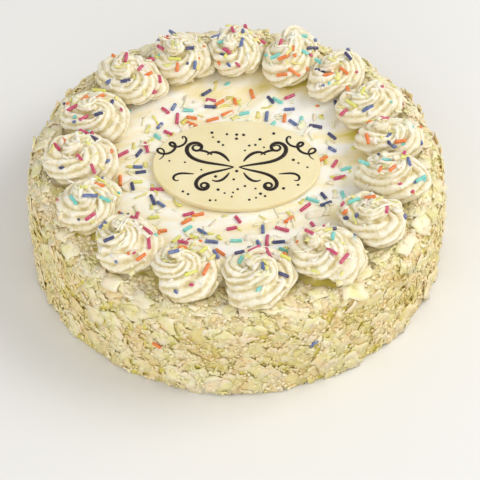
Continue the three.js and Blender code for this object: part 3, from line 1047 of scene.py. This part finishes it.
def sprinkle_kind(length, draws):
    """One sugar rod with rounded rims and a slight bend, as arrays."""
    bm = bmesh.new()
    bmesh.ops.create_cone(
        bm, segments=10, radius1=SPRINKLE_RADIUS, radius2=SPRINKLE_RADIUS, depth=length, cap_ends=True
    )
    bmesh.ops.bevel(
        bm, geom=level_edges(bm), offset=ROD_ROUNDING, segments=2, profile=0.5, affect="EDGES", material=-1
    )
    for share in (-0.25, 0, 0.25):
        bmesh.ops.bisect_plane(
            bm, geom=bm.verts[:] + bm.edges[:] + bm.faces[:], plane_co=(0, 0, share * length), plane_no=UP
        )
    bmesh.ops.rotate(bm, cent=(0, 0, 0), matrix=Matrix.Rotation(math.pi / 2, 3, "Y"), verts=bm.verts)
    bend = between(draws, -0.018, 0.018)
    for vert in bm.verts:
        vert.co.y += bend * vert.co.x**2
    return arrays_of(bm)


sprinkle_draws = random_from(71)
sprinkle_kinds = [sprinkle_kind(length, sprinkle_draws) for length in ROD_LENGTHS]
bit_kinds = lump_kinds(sprinkle_draws, 8, lengths=(2.0, 4.0))
print("triangles of a rod:", len(sprinkle_kinds[0][1]), "of a crushed bit:", len(bit_kinds[0][1]))

# %% [markdown]
# The sugar is dyed through, with a low gloss and paler scuffs. Each colour has a main tone, a scuffed tone
# and the share of all sprinkles that have it.


# %% The sugar's colours
def sugar(name, colour, light):
    """Coloured sugar paste: one colour, with paler, scuffed patches and a low gloss."""
    material, tree, shader = new_material(name, Roughness=0.42, IOR=1.5, Subsurface_Weight=0.08)
    place = add_node(tree, "ShaderNodeTexCoord", {}, {}).outputs["Object"]
    scuffs = add_node(
        tree, "ShaderNodeTexNoise", {}, {"Vector": place, "Scale": scale_for(1.6), "Detail": 3.0}
    )
    stops = [(0.45, colour), (0.8, light)]
    colours = add_node(tree, "ShaderNodeValToRGB", {}, {"Fac": scuffs.outputs["Fac"]}, stops)
    tree.links.new(colours.outputs["Color"], shader.inputs["Base Color"])
    return material


SUGARS = {
    "pink": ("#C9476B", "#DC7A92", 0.22),
    "orange": ("#EC7A3A", "#F3A06A", 0.22),
    "teal": ("#78D0C6", "#A6E4DB", 0.17),
    "blue": ("#5C6A9B", "#8F9ABF", 0.2),
    "navy": ("#3D4168", "#666A93", 0.1),
    "yellow": ("#E4E06E", "#EFEB9C", 0.09),
}

# %% [markdown]
# A sprinkle lies either on the open top, clear of the plaque and of the rosettes, or on a rosette. So there
# are two ways to draw a spot: from the whole top, passing over spots that aren't clear, and on one rosette,
# at a bearing and a share of its size from its middle.


# %% Spots on the open top
def is_clear(x, y, margin):
    """Whether a spot on the top is clear of the plaque and of every rosette."""
    if math.hypot(x / (PLAQUE[0] / 2 + margin), y / (PLAQUE[1] / 2 + margin)) < 1:
        return False
    centres = [around(math.radians(bearing)) * RING_RADIUS for bearing in BEARINGS]
    return all(math.hypot(x - c.x, y - c.y) > ROSETTE_WIDTHS[1] / 2 + margin for c in centres)


def open_spots(draws, count, margin, apart):
    """Spots on the open top, each apart from those before it."""
    spots = []
    while len(spots) < count:
        radius = RING_RADIUS * math.sqrt(next(draws))
        bearing = next(draws) * 2 * math.pi
        x, y = radius * math.cos(bearing), radius * math.sin(bearing)
        crowded = any(math.hypot(other[0] - x, other[1] - y) < apart for other in spots)
        if is_clear(x, y, margin) and not crowded:
            spots.append((x, y))
    return spots


def rosette_spot(facts, bearing, share):
    """A spot on a rosette, at a bearing and a share of its size from its middle."""
    across, along = share * facts["width"] * math.cos(bearing), share * facts["length"] * math.sin(bearing)
    offset = Matrix.Rotation(facts["bearing"], 3, "Z") @ Vector((across, along, 0))
    spot = around(facts["bearing"]) * RING_RADIUS + offset
    return spot.x, spot.y


# %% [markdown]
# The first rods repeat the solids' own rule, number by number: 44 on the top and three on each rosette.
# More are then wanted where the real cake has them. Two rods can't lie in one place, so each rod is stood
# for by three points along it, and a new one is kept only where its points are clear of those of all the
# others.

# %% Rods that don't cross
ROD_CLEARANCE = 3.4 * SPRINKLE_RADIUS
OWN_RODS_PER_ROSETTE = 3
MORE_RODS_PER_ROSETTE = 7
MORE_ROD_LENGTHS = (4.2, 7.0)


def rod(spot, draws, lengths):
    """A rod's spot, the way it points and its length."""
    turn = next(draws) * math.pi
    return spot, around(turn), between(draws, *lengths)


def marks(one):
    """Three points along a rod."""
    (x, y), along, length = one
    return [Vector((x, y, 0)) + along * length * share for share in (-0.4, 0, 0.4)]


def is_free(one, others):
    """Whether a rod is clear of all the others."""
    return all((a - b).length > ROD_CLEARANCE for other in others for a in marks(one) for b in marks(other))


def all_rods():
    """The solids' own rods, and then those that fill the bare spots between them."""
    draws = random_from(44)
    rods = [rod(spot, draws, (4.4, 6.8)) for spot in open_spots(draws, count=44, margin=3.9, apart=3.2)]
    draws = random_from(777)
    for facts in RING:
        for i in range(OWN_RODS_PER_ROSETTE):
            bearing = (i + between(draws, -0.3, 0.3)) / OWN_RODS_PER_ROSETTE * 2 * math.pi
            spot = rosette_spot(facts, bearing, between(draws, 0.1, 0.32))
            rods.append(rod(spot, draws, (4.2, 6.2)))
    draws = random_from(45)
    more_spots = open_spots(draws, count=90, margin=1.8, apart=0)
    wanted = [rod(spot, draws, MORE_ROD_LENGTHS) for spot in more_spots]
    for facts in RING:
        for _ in range(MORE_RODS_PER_ROSETTE):
            spot = rosette_spot(facts, next(draws) * 2 * math.pi, between(draws, 0.15, 0.46))
            wanted.append(rod(spot, draws, MORE_ROD_LENGTHS))
    for one in wanted:
        if is_free(one, rods):
            rods.append(one)
    return rods


# %% [markdown]
# Sprinkles fall on the finished cake, so each place is found by a ray from above, and the thing lies on the
# slope that it hits, sunk in by a little. A few rods stuck to the side as they fell. Each rod takes the
# kind whose length is nearest, and its colour is drawn by the shares. The crushed bits go near the
# rosettes' edges, where two of them were pressed together.

# %% Laying things down
CRUSHED_BITS = 90
skin_tree = tree_of(frosting_mesh, *(rosette.data for rosette in rosettes))


def dropped(spot, along, sink, tip):
    """Lays a thing on the skin below a spot, with its back sunk in by a little and tipped to one side."""
    above = Vector((*spot, FAR_OUT))
    point, normal = landing(skin_tree, above, above - UP)
    facing = (normal + UP).normalized()
    return laid(point + facing * sink, facing + along.cross(UP) * tip, along)


def stuck_on_side(count, draws, heights, lengths):
    """Rods that stuck to the side as they fell."""
    places = []
    for i in range(count):
        bearing = (i + next(draws)) / count * 2 * math.pi
        axis = UP * between(draws, *heights)
        along = around(bearing + math.pi / 2) + UP * between(draws, -1, 1)
        point, _ = landing(drum_tree, axis + around(bearing) * FAR_OUT, axis)
        place = laid(point + around(bearing) * SPRINKLE_RADIUS * 1.4, around(bearing), along)
        places.append((place, between(draws, *lengths)))
    return places


rod_places = [(dropped(spot, along, SPRINKLE_RADIUS * 0.5, 0), length) for spot, along, length in all_rods()]
rod_places += stuck_on_side(
    8, random_from(55), heights=(20, CAKE_HEIGHT - SHOULDER), lengths=(4.4, 6.4)
)
colour_draws = random_from(9)
sprinkle_places = {name: [] for name in SUGARS}
for matrix, length in rod_places:
    kind = int(np.abs(ROD_LENGTHS - length).argmin())
    pick = next(colour_draws)
    for name, (_, _, share) in SUGARS.items():
        pick -= share
        if pick < 0:
            break
    sprinkle_places[name].append((kind, matrix, 0.5))
bit_draws = random_from(91)
for name, (_, _, share) in SUGARS.items():
    for number in range(round(CRUSHED_BITS * share)):
        facts = RING[number * 5 % len(RING)]
        spot = rosette_spot(facts, next(bit_draws) * 2 * math.pi, between(bit_draws, 0.36, 0.52))
        matrix = dropped(spot, around(next(bit_draws) * math.pi), 0.2, 0)
        sprinkle_places[name].append((len(sprinkle_kinds) + number % len(bit_kinds), matrix, 0.5))
sugared = ["cake_body"] + [f"rosette_{i:02d}" for i in range(1, len(BEARINGS) + 1)]
for name, (colour, light, _) in SUGARS.items():
    rods = scattered(f"sprinkles_{name}", sprinkle_kinds + bit_kinds, sprinkle_places[name])
    new_piece(f"sprinkles_{name}", rods, sugar(f"sugar_{name}", colour, light), "sugar_sprinkles", *sugared)

# %% [markdown]
# ## Flakes, shreds and crumbs on the ledge
#
# Outside the rosettes the top is a narrow ledge, and loose chocolate gathers there, up to the rosettes'
# feet. It is painted paler than the crust, with a lighter copy of the same chocolate, as painted light on
# the top. Spots are drawn on the ledge and kept where the skin isn't too high, and half as many again are
# pressed over the rim, which hides the edge between the side and the top.

# %% The ledge
LEDGE_RADII = (73, 97)
LEDGE_TIP = 0.25
LEDGE_RIM = {"lift": (0.5, 2.0), "slopes": (58, 98)}


def strewn(spots, draws, scale, tip=0.6):
    """Places for shreds, each turned and tipped by its own amount."""
    places = []
    for number, spot in enumerate(spots):
        along = around(next(draws) * math.pi)
        matrix = dropped(spot, along, between(draws, 0.2, 0.5), between(draws, -tip, tip))
        places.append((number * 3, matrix @ Matrix.Scale(between(draws, *scale), 4), next(draws)))
    return places


def ledge_spots(draws, count, climb):
    """Spots on the ledge outside the rosettes, and up to some height on the rosettes' feet."""
    spots = []
    while len(spots) < count:
        spot = around(next(draws) * 2 * math.pi) * between(draws, *LEDGE_RADII)
        point, _ = landing(skin_tree, spot + UP * FAR_OUT, spot)
        if point.z < CAKE_HEIGHT + climb * next(draws) ** 2:
            spots.append((spot.x, spot.y))
    return spots


ledge_draws = random_from(81)
for name, kinds, count, climb, scale in (
    ("ledge_flakes", broad_kinds, 150, 6, (0.4, 0.75)),
    ("ledge_shreds", shred_kinds, 560, 9, (0.5, 1.2)),
    ("ledge_crumbs", crumb_kinds, 1700, 11, (0.8, 1.5)),
):
    places = strewn(ledge_spots(ledge_draws, count, climb), ledge_draws, scale, LEDGE_TIP)
    places += pressed_on_rim(ledge_draws, count // 2, **LEDGE_RIM)
    new_piece(name, scattered(name, kinds, places), lit_ledge_shavings, "white_chocolate", "cake_body")

# %% [markdown]
# ## Shreds on the top
#
# The finest of the scraped chocolate is strewn over the top and the rosettes at the end, with a little that
# was tinted lemon. Thin curls lie among the shreds. The eight largest flakes lie where the solid has its
# own.

# %% Shreds
flake_spots = open_spots(random_from(33), count=8, margin=4.7, apart=9)
flakes = scattered("top_flakes", broad_kinds, strewn(flake_spots, random_from(34), (0.5, 0.7)))
new_piece("top_flakes", flakes, top_shavings, "white_chocolate", "cake_body")
for name, seed, on_top, on_rosette, chocolate in (
    ("pale_shreds", 61, 80, 12, top_shavings),
    ("lemon_shreds", 62, 38, 6, lemon_shavings),
):
    shred_draws = random_from(seed)
    shred_spots = open_spots(shred_draws, on_top, margin=1.0, apart=2.5)
    for facts in RING:
        for _ in range(on_rosette):
            bearing = next(shred_draws) * 2 * math.pi
            shred_spots.append(rosette_spot(facts, bearing, between(shred_draws, 0.05, 0.46)))
    shreds = scattered(name, shred_kinds + curl_kinds, strewn(shred_spots, shred_draws, (0.55, 1.1)))
    new_piece(name, shreds, chocolate, "white_chocolate", *sugared)

# %% [markdown]
# ## The camera
#
# The picture was taken from the front, looking down at about 48 degrees, from far enough away that the
# cake's far side is hardly smaller than its near side. So the camera stands 1.2 m away with a long lens.
# The lens is worked out from its focal length in pixels, for a square picture 480 pixels wide.

# %% Camera
CAMERA_DISTANCE = 1200
CAMERA_ELEVATION = math.radians(48)
IMAGE_WIDTH = 480
SENSOR_WIDTH = 36.0
FOCAL_PIXELS = 2440
AIM = Vector((1.7, 0, -3.6))

camera_data = bpy.data.cameras.new("photo_camera")
camera_data.sensor_width = SENSOR_WIDTH
camera_data.lens = FOCAL_PIXELS * SENSOR_WIDTH / IMAGE_WIDTH
camera_data.clip_end = 20
camera = bpy.data.objects.new("photo_camera", camera_data)
bpy.context.scene.collection.objects.link(camera)
backwards = Vector((0, -math.cos(CAMERA_ELEVATION), math.sin(CAMERA_ELEVATION)))
camera.location = (AIM + backwards * CAMERA_DISTANCE) * MM
camera.rotation_euler = (math.pi / 2 - CAMERA_ELEVATION, 0, 0)
bpy.context.scene.camera = camera
print(f"lens: {camera_data.lens:.0f} mm")

# %% [markdown]
# ## The light and the floor
#
# A broad window light from the right makes the soft shadows, a larger one fills them from the front, and a
# pale sky lights the rest. Each light is placed by its bearing, its height in degrees and its distance, and
# turned to the cake. The floor is a plain pale sheet that isn't part of the cake.

# %% Light and floor
FLOOR_REACH = 3.0
LIGHT_AIM = Vector((0, 0, 0.03))


def add_area_light(name, azimuth, elevation, distance, size, power, colour):
    """A square soft light that points at the cake."""
    data = bpy.data.lights.new(name, "AREA")
    data.size = size
    data.energy = power
    data.color = linear(colour)[:3]
    light = bpy.data.objects.new(name, data)
    a, e = math.radians(azimuth), math.radians(elevation)
    light.location = Vector((math.sin(a) * math.cos(e), math.cos(a) * math.cos(e), math.sin(e))) * distance
    light.rotation_euler = (LIGHT_AIM - light.location).to_track_quat("-Z", "Y").to_euler()
    bpy.context.scene.collection.objects.link(light)


add_area_light("window", azimuth=80, elevation=44, distance=1.4, size=0.9, power=11, colour="#FFFCF5")
add_area_light("front_fill", azimuth=200, elevation=30, distance=1.6, size=1.6, power=11.5, colour="#FFFCF5")

world = bpy.data.worlds.new("pale_sky")
world.use_nodes = True
sky = world.node_tree.nodes["Background"]
sky.inputs["Color"].default_value = linear("#F6F7F9")
sky.inputs["Strength"].default_value = 0.63
bpy.context.scene.world = world
bpy.context.scene.view_settings.view_transform = "Standard"

floor_bm = bmesh.new()
bmesh.ops.create_grid(floor_bm, x_segments=1, y_segments=1, size=FLOOR_REACH)
floor_mesh = bpy.data.meshes.new("floor")
floor_bm.to_mesh(floor_mesh)
floor_bm.free()
floor = bpy.data.objects.new("floor", floor_mesh)
bpy.context.scene.collection.objects.link(floor)
floor_paint, _, _ = new_material("pale_floor", Roughness=0.6, Base_Color=linear("#E9E8E6"))
floor_mesh.materials.append(floor_paint)
